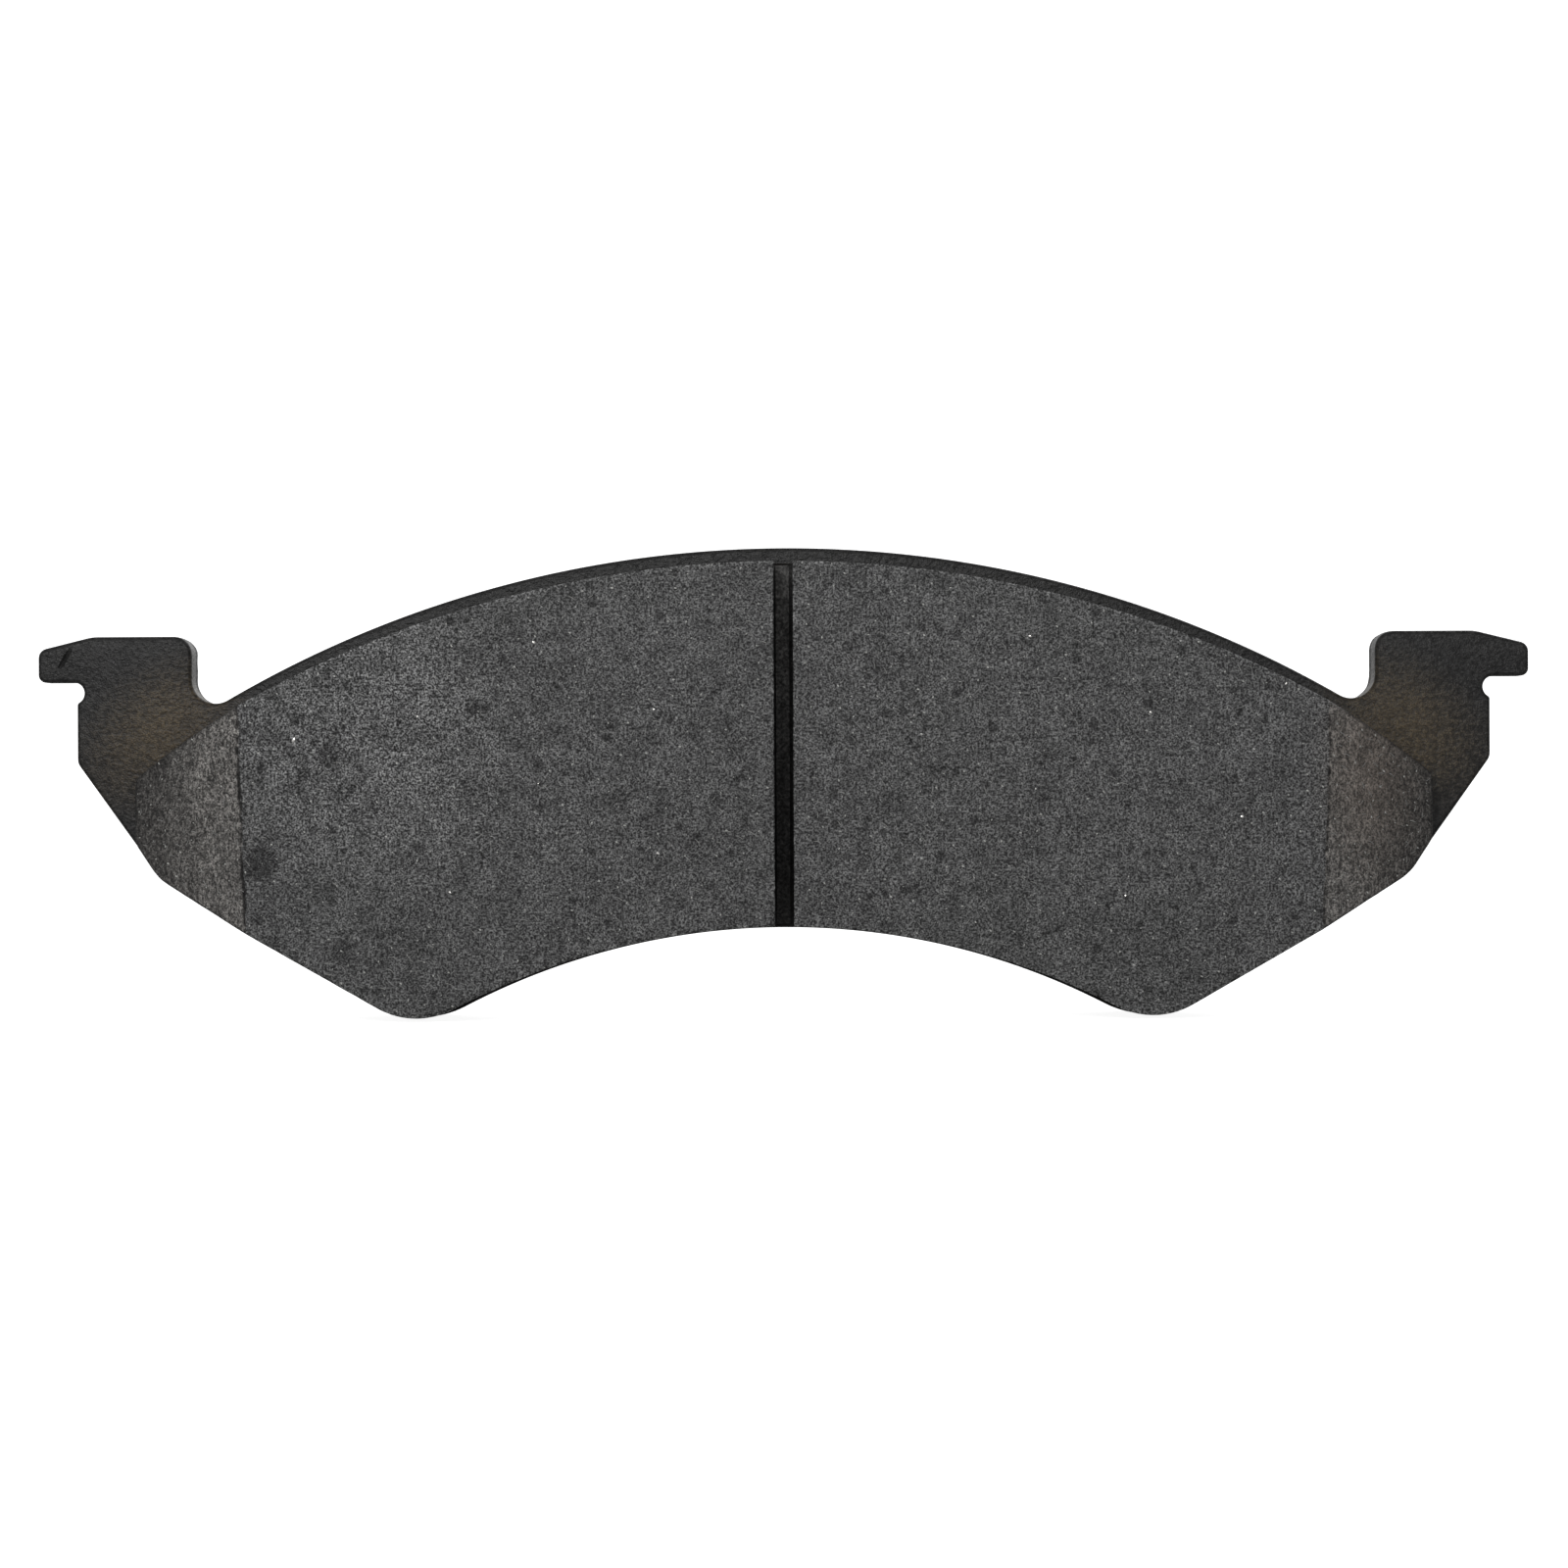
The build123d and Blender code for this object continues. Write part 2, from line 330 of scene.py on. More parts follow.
def maths(material, operation, first, second=0.0):
    """Result of a sum on values or sockets."""
    return add_node(material, "ShaderNodeMath", {0: first, 1: second}, operation=operation).outputs[0]


def product(material, first, *others):
    """Several values or sockets multiplied together."""
    for other in others:
        first = maths(material, "MULTIPLY", first, other)
    return first


def ranged(material, value, low, high, new_low, new_high):
    """A value moved smoothly from the range low to high to the range new_low to new_high."""
    inputs = {0: value, 1: low, 2: high, 3: new_low, 4: new_high}
    return add_node(material, "ShaderNodeMapRange", inputs, interpolation_type="SMOOTHSTEP").outputs[0]


def bumped(material, shader, height, depth):
    """Relief on the shader's surface, its depth in millimetres."""
    bump = add_node(material, "ShaderNodeBump", {"Height": height, "Strength": 1.0, "Distance": depth * MM})
    material.node_tree.links.new(bump.outputs[0], shader.inputs["Normal"])


def fade_from(material, place, centre, size, tilt=0.0):
    """1 at a centre, fading to 0 at the surface of an ellipsoid turned about Y, in millimetres."""
    inputs = {"Vector": place, "Location": [c * MM for c in centre], "Rotation": (0, tilt, 0),
              "Scale": [s * MM for s in size]}
    local = add_node(material, "ShaderNodeMapping", inputs, vector_type="TEXTURE").outputs[0]
    length = add_node(material, "ShaderNodeVectorMath", {0: local}, operation="LENGTH").outputs[1]
    return ranged(material, length, 0.0, 1.0, 1.0, 0.0)


plate_back = box_mm("shim_adhesive")[0].y
plate_front = box_mm("backing_plate")[0].y


def powder_coat(name, tone, roughness, specular, relief):
    """Satin black powder coat, pebbled, browned by resin beside the lining and scratched once."""
    material, shader, place = new_material(name, roughness, specular)
    pebbles = noise_of(material, place, size=0.36, detail=1.0, stretch=(1.2, 1, 0.9))
    fine = noise_of(material, place, size=0.17, detail=1.0)
    clouds = noise_of(material, place, size=6.0, detail=3.0)
    lumps = noise_of(material, place, size=1.1, detail=2.0)
    left, right = (
        fade_from(material, place, (side * STAIN_X, plate_front, STAIN_Z), STAIN_SIZE, side * STAIN_TILT)
        for side in (-1, 1)
    )
    stain = maths(material, "MAXIMUM", left, right)
    level = product(material,
                    ranged(material, pebbles, 0.3, 0.7, 0.3, 1.7),
                    ranged(material, fine, 0.3, 0.7, 0.2, 1.8),
                    ranged(material, clouds, 0.3, 0.7, 0.85, 1.15))
    level = mixed(material, product(material, stain, 0.45), level, (1.0, 1.0, 1.0))
    tint = mixed(material, stain, (tone, 0.98 * tone, 0.96 * tone), (0.0430, 0.0320, 0.0185))
    colour = mixed(material, 1.0, tint, level, "MULTIPLY")
    scratch = fade_from(material, place, (SCRATCH_X, plate_front, SCRATCH_Z), SCRATCH_SIZE, SCRATCH_TILT)
    colour = mixed(material, product(material, scratch, 0.7), colour, (0.001, 0.001, 0.001))
    material.node_tree.links.new(colour, shader.inputs["Base Color"])
    gloss = ranged(material, fine, 0.3, 0.7, roughness - 0.08, roughness + 0.1)
    gloss = maths(material, "ADD", gloss, product(material, scratch, 0.4))
    material.node_tree.links.new(gloss, shader.inputs["Roughness"])
    height = maths(material, "ADD", pebbles, product(material, fine, 0.5))
    height = maths(material, "ADD", height, lumps)
    height = maths(material, "SUBTRACT", height, product(material, scratch, 3.0))
    bumped(material, shader, height, relief)
    return material


outline = plate_outline()
bm = bmesh.new()
turns = [math.pi / 2 * i / DIE_ROLL_STEPS for i in range(DIE_ROLL_STEPS)] + [math.pi / 2]
die_roll = [(DIE_ROLL_WIDTH * (1 - math.sin(t)), DIE_ROLL_DEPTH * (1 - math.cos(t))) for t in turns]
edge = [ring(bm, set_in(outline, inset), plate_front + depth) for inset, depth in die_roll]
tear = [TEAR_DEPTH + TEAR_UNEVENNESS * noise.noise(Vector((x / 1.3, z / 1.3, 3))) for x, z in outline]
border = [0.5 * noise.noise(Vector((x / 2.5, z / 2.5, 9))) for x, z in outline]
tear_start = [plate_front + SHEARED_DEPTH + stray for stray in border]
deep_tear = [TEAR_GROWTH * t for t in tear]
edge.append(ring(bm, outline, tear_start))
edge.append(ring(bm, set_in(outline, tear), [y + TEAR_STEP for y in tear_start]))
edge.append(ring(bm, set_in(outline, deep_tear), plate_back - BACK_EDGE_BREAK))
edge.append(ring(bm, set_in(outline, [t + BACK_EDGE_BREAK for t in deep_tear]), plate_back))
wall(bm, edge[:DIE_ROLL_STEPS + 1], material=1)
wall(bm, edge[DIE_ROLL_STEPS:DIE_ROLL_STEPS + 2])
wall(bm, edge[DIE_ROLL_STEPS + 1:], material=2)
front_rings, back_rings = [edge[0]], [edge[-1]]
for x in MOULDING_HOLES_X:
    mouth = ring(bm, circle(x, MOULDING_HOLE_RADIUS), plate_front)
    exit_ring = ring(bm, circle(x, MOULDING_HOLE_RADIUS), plate_back)
    wall(bm, [mouth, exit_ring])
    front_rings.append(mouth)
    back_rings.append(exit_ring)
for x in PIPS_X:
    for y, rings in ((plate_front, front_rings), (plate_back, back_rings)):
        root = ring(bm, circle(x, PIP_RADIUS), y)
        end = ring(bm, circle(x, PIP_RADIUS - PIP_TAPER), y + PIP_HEIGHT)
        wall(bm, [root, end])
        cap(bm, [end])
        rings.append(root)
cap(bm, front_rings)
cap(bm, back_rings)
# The rolled-over front rim takes a darker copy of the coat (tone 0.008 against 0.0105): painted shade along
# the plate's front edge.
coats = [powder_coat("powder_coat", tone=0.0105, roughness=0.5, specular=0.31, relief=0.14),
         powder_coat("powder_coat_on_rim_in_painted_shade", tone=0.008, roughness=0.7, specular=0.25, relief=0.06),
         powder_coat("powder_coat_on_torn_edge", tone=0.0110, roughness=0.68, specular=0.38, relief=0.3)]
plate = finished_piece(bm, "backing_plate_coated", coats)
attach(plate, "root")
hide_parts("backing_plate")

# ------------------------------------------------------------------------------------------------
# Bond film
# Phenolic adhesive rolled onto the plate and cured with the lining. The press squeezes a thin
# dark bead of it out all round the lining's edge.

LINING_OUTER_RADIUS = 122.3
LINING_END_X = 72.2
LINING_END_ROUNDING = 1.5
LINING_FLANK_ROUNDING = 6.0
LINING_FOOT_ROUNDING = 8.7
FLANK_INSET = 0.45
FOOT_INSET = 0.63
INNER_ARC_INSET = 0.45
BEAD_WIDTH = 0.27
BEAD_UNEVENNESS = 0.14
BEAD_LARGEST = 0.4
BEAD_HEIGHT = 0.12
BEAD_OVERLAP = 0.15


def lining_half():
    """Right half of the lining's outline, clockwise from top middle to bottom middle."""
    reach = LINING_OUTER_RADIUS - LINING_END_ROUNDING
    corner_x = LINING_END_X - LINING_END_ROUNDING
    corner = (corner_x, DISC_AXIS_Z + math.sqrt(reach**2 - corner_x**2))
    meet = math.atan2(corner[1] - DISC_AXIS_Z, corner[0])
    end_bottom = (LINING_END_X, flank_height(LINING_END_X, FLANK_INSET))
    flank = flank_corner(FLANK_INSET, FOOT_INSET)
    half = arc_points((0, DISC_AXIS_Z), LINING_OUTER_RADIUS, math.pi / 2, meet)
    half += arc_points(corner, LINING_END_ROUNDING, meet, 0, 0.3)[1:]
    half += rounded_corner((LINING_END_X, corner[1]), end_bottom, flank, LINING_END_ROUNDING)
    half += rounded_corner(end_bottom, flank, (0, foot_height(0, FOOT_INSET)), LINING_FLANK_ROUNDING)
    return half + foot_and_inner_arc(LINING_FOOT_ROUNDING, FOOT_INSET, INNER_ARC_INSET)


def cured_adhesive(name, dark, light, roughness):
    """Thin cured glue, uneven in colour along its squeezed-out edge."""
    material, shader, place = new_material(name, roughness, specular=0.12)
    flow = noise_of(material, place, size=1.4, detail=4.0)
    colour = ramp(material, flow, [(0.3, dark), (0.7, light)])
    material.node_tree.links.new(colour, shader.inputs["Base Color"])
    bumped(material, shader, flow, depth=0.08)
    return material


lining = both_halves(lining_half())
film_front = box_mm("bond_film")[0].y
bead = [-BEAD_WIDTH - BEAD_UNEVENNESS * noise.noise(Vector((x / 1.6, z / 1.6, 31))) for x, z in lining]
bead = [max(width, -BEAD_LARGEST) for width in bead]
bm = bmesh.new()
edge = [
    ring(bm, set_in(lining, BEAD_OVERLAP), film_front - BEAD_HEIGHT),
    ring(bm, set_in(lining, [0.35 * width for width in bead]), film_front - BEAD_HEIGHT),
    ring(bm, set_in(lining, [0.8 * width for width in bead]), film_front + 0.02),
    ring(bm, set_in(lining, bead), plate_front - 0.02),
    ring(bm, set_in(lining, BEAD_OVERLAP), plate_front),
]
wall(bm, edge)
cap(bm, [edge[0]])
cap(bm, [edge[-1]])
adhesive = cured_adhesive("bond_adhesive", (0.002, 0.0018, 0.0015), (0.007, 0.006, 0.005), roughness=0.85)
film = finished_piece(bm, "bond_film_bead", [adhesive])
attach(film, "root")
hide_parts("bond_film")

# ------------------------------------------------------------------------------------------------
# Underlayer
# Two millimetres of softer, darker mix moulded under the friction material. It fills the plate's
# holes and dimples, shows as a band round the lining's edge, and is the floor of the slot.

SLOT_WIDTH = 2.1
FRONT_INSET = 0.3
# Heights in millimetres between which the moulded skins are darkened downwards as painted shade.
PAINTED_SHADE_FULL_Z, PAINTED_SHADE_NONE_Z = -18, 22


def seam_wave(x, z):
    """How far the border between underlayer and friction material strays, in millimetres."""
    return 0.22 * noise.noise(Vector((x / 3.1, z / 3.1, 21))) + 0.1 * noise.noise(Vector((x, z, 5)))


def moulded_mix(name, level, roughness):
    """Moulded skin of a friction mix: dark resin, pale grains, marks of the press and scuffs, with painted
    shade darkening it towards the bottom.
    """
    material, shader, place = new_material(name, roughness, specular=0.3)
    grain = noise_of(material, place, size=0.34, detail=2.0)
    lumps = noise_of(material, place, size=1.3, detail=2.0)
    marks = noise_of(material, place, size=0.55, detail=2.0, stretch=(1, 9, 1))
    shade = product(material,
                    ranged(material, grain, 0.32, 0.7, 0.45, 1.7),
                    ranged(material, lumps, 0.3, 0.7, 0.7, 1.3),
                    ranged(material, marks, 0.3, 0.7, 0.65, 1.35))
    height = add_node(material, "ShaderNodeSeparateXYZ", {0: place}).outputs["Z"]
    # Painted shade: the skin darkened towards the bottom, down to 0.3 at the lowest height.
    shade = product(material, shade,
                    ranged(material, height, PAINTED_SHADE_FULL_Z * MM, PAINTED_SHADE_NONE_Z * MM, 0.3, 1.0))
    scuffs = noise_of(material, place, size=0.5, detail=3.0, stretch=(9, 1, 4))
    shade = product(material, shade, ranged(material, scuffs, 0.6, 0.72, 1.0, 2.2))
    colour = mixed(material, 1.0, (level, 0.98 * level, 0.95 * level), shade, "MULTIPLY")
    material.node_tree.links.new(colour, shader.inputs["Base Color"])
    bumped(material, shader, maths(material, "ADD", grain, marks), depth=0.14)
    return material


underlayer_front = box_mm("underlayer")[0].y
rough = [0.05 * noise.noise(Vector((x / 0.8, z / 0.8, 1))) + 0.05 for x, z in lining]
bm = bmesh.new()
seam = [underlayer_front + seam_wave(x, z) * (abs(x) > SLOT_WIDTH) for x, z in lining]
edge = [
    ring(bm, set_in(lining, FRONT_INSET), underlayer_front),
    ring(bm, set_in(lining, rough), seam),
    ring(bm, set_in(lining, [0.5 * r for r in rough]), (film_front + underlayer_front) / 2),
    ring(bm, set_in(lining, [0.8 * r for r in rough]), film_front),
]
wall(bm, edge)
cap(bm, [edge[0]])
back_rings = [edge[-1]]
for places, radius, depth in ((MOULDING_HOLES_X, MOULDING_HOLE_RADIUS, plate_back),
                              (PIPS_X, PIP_RADIUS, plate_front + PIP_HEIGHT)):
    for x in places:
        root = ring(bm, circle(x, radius), film_front)
        end = ring(bm, circle(x, radius), depth)
        wall(bm, [root, end])
        cap(bm, [end])
        back_rings.append(root)
cap(bm, back_rings)
underlayer_mix = moulded_mix("underlayer_mix", level=0.072, roughness=0.8)
underlayer = finished_piece(bm, "underlayer_moulded", [underlayer_mix])
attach(underlayer, "root")
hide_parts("underlayer")

# ------------------------------------------------------------------------------------------------
# Friction blocks
# Hot-pressed friction mix, ground flat on its face, slotted down to the underlayer and bevelled
# at the outer ends. The ground surfaces show grain and graphite; the sides keep their moulded skin.

CHAMFER_START_X = 59.37
CHAMFER_START_Z = -7.65
CHAMFER_LEAN = math.tan(math.radians(2.1))
CHAMFER_FALL = math.tan(math.radians(30.4))
COLUMN_STEP = 0.36
END_STEPS = (0.12, 0.3)
ROWS = 120
WALL_ROWS = 14
CREASE_DEPTH = 0.2
CREASE_OFFSET = 0.12
CREASE_HALF_WIDTH = 0.27
SLOT_FILLETS = {-1: 0.22, 1: 0.42}
EDGE_SHADING_REACH = 0.4

ground_face = box_mm("friction_block_left")[0].y
lining_right = subdivided(lining_half(), 0.2)
end_top = lining_right.index(max(lining_right))
upper_edge = lining_right[:end_top + 1]
lower_edge = lining_right[:end_top:-1]


def edge_height(edge, x):
    """Height of the lining's upper or lower edge at a place along it."""
    i = min(bisect.bisect_left(edge, (x,)), len(edge) - 1)
    here, there = edge[i - 1], edge[i]
    return here[1] + (x - here[0]) / (there[0] - here[0]) * (there[1] - here[1])


def past_crease(x, z):
    """Distance from the line where the bevel starts, positive on the bevel."""
    return x - CHAMFER_START_X - (z - CHAMFER_START_Z) * CHAMFER_LEAN


def grinding_relief(x, z, side):
    """Waviness, grain and torn-out pits of the ground surface, in millimetres below it."""
    here = Vector((x, z, 40 * side))
    wave = 0.02 * noise.noise(here / 6) + 0.03 * noise.noise(here / 0.8)
    pit = max(0.0, noise.noise(here / 1.5 + Vector((7, 3, 0))) - 0.4)
    return wave + min(0.22, 0.8 * pit)


def crease_groove(distance, z, side):
    """Broken groove left where the bevel's grinding pass starts."""
    here = Vector((z, 3 * side, 2))
    broken = max(0.0, 0.5 - 0.35 * side + 1.1 * noise.noise(here / 0.7) + 0.7 * noise.noise(here / 3.5))
    return min(1.0, broken) * max(0.0, 1 - abs(distance - CREASE_OFFSET) / CREASE_HALF_WIDTH)


def chipped_edge(distance, x, z, side):
    """How far the surface drops beside its edge, where the grinding has crumbled it."""
    here = Vector((x, z, 17 * side))
    crumbs = max(0.0, noise.noise(here / 0.9) + 0.1)
    chips = max(0.0, noise.noise(here / 2.6) - 0.35)
    radius = 0.12 + 0.2 * crumbs + 0.6 * chips
    reach = max(0.0, radius - distance)
    return radius - math.sqrt(radius**2 - reach**2)


def spaced(low, high):
    """Places from low to high, even in the middle and closer together at both ends."""
    middle_low, middle_high = low + END_STEPS[-1], high - END_STEPS[-1]
    count = math.ceil((middle_high - middle_low) / COLUMN_STEP)
    even = [middle_low + (middle_high - middle_low) * i / count for i in range(count + 1)]
    return [low, low + END_STEPS[0]] + even + [high - END_STEPS[0], high]


def crowded(share):
    """A row's share of the block's height, the rows a little closer together at the edges."""
    crowd = 0.12
    turn = share * 2 - 1
    return 0.5 + 0.5 * (turn * (1 - crowd) + crowd * math.sin(turn * math.pi / 2))


def crease_wander(z, side):
    """How far the start of the bevel strays from its straight line, in millimetres."""
    return 0.16 * noise.noise(Vector((z / 0.9, side, 6))) + 0.22 * noise.noise(Vector((z / 5, side, 9)))


def ground_grid(bm, side):
    """Vertices over a block's ground face and bevel, column by column away from the slot."""
    crease_mark = bm.verts.layers.float.new("crease")
    edge_shading_mark = bm.verts.layers.float.new("painted_edge_shading")
    clear_mark = bm.verts.layers.float.new("clearance")
    near, far = SLOT_WIDTH / 2, LINING_END_X - 1e-4
    columns = spaced(near, CHAMFER_START_X) + spaced(CHAMFER_START_X, far)[1:]
    grid = []
    for column in columns:
        lean = min((column - near) / (CHAMFER_START_X - near), (far - column) / (far - CHAMFER_START_X))
        low, high = edge_height(lower_edge, column), edge_height(upper_edge, column)
        line = []
        for row in range(ROWS + 1):
            share = crowded(row / ROWS)
            z = low + share * (high - low)
            wander = crease_wander(z, side)
            x = min(far, column + lean * ((z - CHAMFER_START_Z) * CHAMFER_LEAN + wander))
            bottom, top = edge_height(lower_edge, x), edge_height(upper_edge, x)
            z = bottom + share * (top - bottom)
            distance = past_crease(x, z) - wander
            gap = max(0.0, min(x - near, LINING_END_X - x, z - bottom, (top - z) * 0.9))
            groove = crease_groove(distance, z, side)
            drop = max(0.0, past_crease(x, z)) * CHAMFER_FALL + grinding_relief(x, z, side)
            drop += chipped_edge(gap, x, z, side) + CREASE_DEPTH * groove
            vertex = bm.verts.new((side * x * MM, (ground_face + drop) * MM, z * MM))
            vertex[crease_mark] = groove
            # Nearness to the block's edge, which sets the painted highlight or painted shade along its edges.
            vertex[edge_shading_mark] = max(0.0, 1 - gap / EDGE_SHADING_REACH)
            vertex[clear_mark] = min(gap, abs(distance))
            line.append(vertex)
        grid.append(line)
    return columns, grid


def wall_level(bm, rim, share, side):
    """Vertices of a block's walls at a share of the way from its rim down to the underlayer."""
    level = []
    for vertex in rim:
        x, y, z = vertex.co / MM
        in_slot = abs(x) < SLOT_WIDTH
        bottom = underlayer_front + (0 if in_slot else seam_wave(x, z))
        depth = y + (bottom - y) * share
        rough = 0.04 + 0.05 * noise.noise(Vector((x / 0.7, z / 0.7, depth / 7)))
        if in_slot:
            fillet = SLOT_FILLETS[side]
            reach = max(0.0, fillet - (bottom - depth))
            foot = fillet - math.sqrt(fillet**2 - reach**2)
            place = Vector((x + side * (0.4 * rough * (share < 1) - foot), depth, z))
        else:
            outward = Vector((0, 0, 1 if z > -10 else -1))
            place = Vector((x, depth, z)) - outward * rough * (share < 1)
        level.append(bm.verts.new(place * MM))
    return level


def friction_block(side):
    """One block as a grid over its ground face, with walls down to the underlayer."""
    bm = bmesh.new()
    columns, grid = ground_grid(bm, side)
    for column, first, second in zip(columns, grid, grid[1:]):
        for j in range(ROWS):
            face = bm.faces.new((first[j], first[j + 1], second[j + 1], second[j]))
            face.material_index = 2 if column >= CHAMFER_START_X else 0
    rim = [line[-1] for line in grid] + list(reversed(grid[-1][:-1]))
    rim += [line[0] for line in reversed(grid[:-1])] + grid[0][1:-1]
    rings = [rim] + [wall_level(bm, rim, k / WALL_ROWS, side) for k in range(1, WALL_ROWS + 1)]
    wall(bm, rings, material=1)
    cap(bm, [rings[-1]], material=1)
    # Faces of the walls inside the slot take the darker slot mix: painted shade in the narrow slot.
    for face in bm.faces:
        if abs(face.calc_center_median().x) < 0.6 * SLOT_WIDTH * MM and face.material_index == 1:
            face.material_index = 3
    return bm


def wandering(material, place, size, reach):
    """The same coordinates, strayed by a noise, so that spots lose their round outline."""
    mapped = add_node(material, "ShaderNodeMapping", {"Vector": place, "Scale": [1 / (size * MM)] * 3})
    inputs = {"Vector": mapped.outputs[0], "Scale": 1.0, "Detail": 1.0}
    colour = add_node(material, "ShaderNodeTexNoise", inputs).outputs["Color"]
    inputs = {0: colour, 1: (0.5, 0.5, 0.5)}
    centred = add_node(material, "ShaderNodeVectorMath", inputs, operation="SUBTRACT").outputs[0]
    inputs = {0: centred, 1: [reach * MM] * 3, 2: place}
    return add_node(material, "ShaderNodeVectorMath", inputs, operation="MULTIPLY_ADD").outputs[0]


def spots_of(material, place, spacing, largest, softness):
    """1 inside scattered spots of many sizes and 0 between them, in millimetres."""
    mapped = add_node(material, "ShaderNodeMapping", {"Vector": place, "Scale": [1 / (spacing * MM)] * 3})
    cells = add_node(material, "ShaderNodeTexVoronoi", {"Vector": mapped.outputs[0], "Scale": 1.0})
    share = add_node(material, "ShaderNodeSeparateColor", {0: cells.outputs["Color"]}).outputs[0]
    radius = product(material, share, largest / spacing)
    inside = maths(material, "SUBTRACT", radius, cells.outputs["Distance"])
    return ranged(material, inside, -softness / spacing, softness / spacing, 0.0, 1.0)


GRAPHITE_PATCHES = ((-57.3, -12.8, 2.1), (-49.8, -1.0, 1.4), (-52.5, -2.9, 0.8), (-34.0, 4.3, 1.0))
PALE_X, PALE_Z = -46, 2
PALE_SIZE = (30, 30, 26)
# Painted light: the right bevel is lightened and warmed to make up for the light it misses from the key lamp
# on the left.
RIGHT_BEVEL_LIGHT_CENTRE = (65, -13, -3)
RIGHT_BEVEL_LIGHT_SIZE = (10, 12, 17)
END_DARKENING = (60.5, 72.5)


def ground_friction(name, base, graphite, stretch, edge):
    """Ground friction mix: grey grains, dark graphite, a broken crease darkened as painted shade, and edges
    lightened as a painted highlight (edge above 0) or darkened as painted shade (edge below 0).
    """
    material, shader, place = new_material(name, roughness=0.78, specular=0.25)
    fine = noise_of(material, place, size=0.2, detail=1.0)
    grain = noise_of(material, place, size=0.4, detail=1.0, stretch=stretch)
    patches = noise_of(material, place, size=1.9, detail=3.0, stretch=stretch)
    clouds = noise_of(material, place, size=9.0, detail=2.0)
    shade = product(material,
                    ranged(material, fine, 0.27, 0.73, 0.3, 1.9),
                    ranged(material, grain, 0.28, 0.72, 0.45, 1.55),
                    ranged(material, patches, 0.3, 0.7, 0.78, 1.22),
                    ranged(material, clouds, 0.3, 0.7, 0.92, 1.08))
    strayed = wandering(material, place, size=0.45, reach=0.6)
    small = spots_of(material, strayed, spacing=1.9, largest=0.6, softness=0.16)
    large = spots_of(material, strayed, spacing=6.0, largest=1.5, softness=0.6)
    dark = maths(material, "MAXIMUM", product(material, small, 0.75), product(material, large, 0.5))
    pale = fade_from(material, place, (PALE_X, ground_face, PALE_Z), PALE_SIZE)
    # Mask of the painted light on the right bevel. The grain's contrast is also lowered inside it.
    right_bevel_light = fade_from(material, strayed, RIGHT_BEVEL_LIGHT_CENTRE, RIGHT_BEVEL_LIGHT_SIZE)
    contrast = ranged(material, pale, 0.0, 1.0, 1.0, 1.3)
    contrast = maths(material, "SUBTRACT", contrast, product(material, right_bevel_light, 0.35))
    shade = maths(material, "POWER", shade, contrast)
    shade = product(material, shade, ranged(material, pale, 0.0, 1.0, 1.0, 1.16))
    for x, z, radius in GRAPHITE_PATCHES:
        patch = fade_from(material, strayed, (x, ground_face, z), [1.5 * radius] * 3)
        dark = maths(material, "MAXIMUM", dark, ranged(material, patch, 0.05, 0.65, 0.0, 1.0))
    shade = product(material, shade, ranged(material, dark, 0.0, 1.0, 1.0, graphite))
    # Painted shade: the crease groove's colour darkened down to 0.15 where the groove is deepest.
    crease = add_node(material, "ShaderNodeAttribute", attribute_name="crease").outputs["Fac"]
    shade = product(material, shade, ranged(material, crease, 0.0, 0.6, 1.0, 0.15))
    along = maths(material, "ABSOLUTE", add_node(material, "ShaderNodeSeparateXYZ", {0: place}).outputs["X"])
    start, end = END_DARKENING
    shade = product(material, shade, ranged(material, along, start * MM, end * MM, 1.0, 0.4))
    # Painted edge light: edges lightened as a painted highlight where edge is above 0, and darkened as
    # painted shade where it is below 0.
    edge_shading = add_node(material, "ShaderNodeAttribute", attribute_name="painted_edge_shading").outputs["Fac"]
    shade = product(material, shade, maths(material, "ADD", 1.0, product(material, edge_shading, grain, edge)))
    colour = mixed(material, 1.0, base, shade, "MULTIPLY")
    # Painted light on the right bevel: its colour multiplied up and warmed.
    colour = mixed(material, right_bevel_light, colour, (1.3, 1.18, 1.1), "MULTIPLY")
    material.node_tree.links.new(colour, shader.inputs["Base Color"])
    bumped(material, shader, maths(material, "ADD", fine, grain), depth=0.12)
    return material


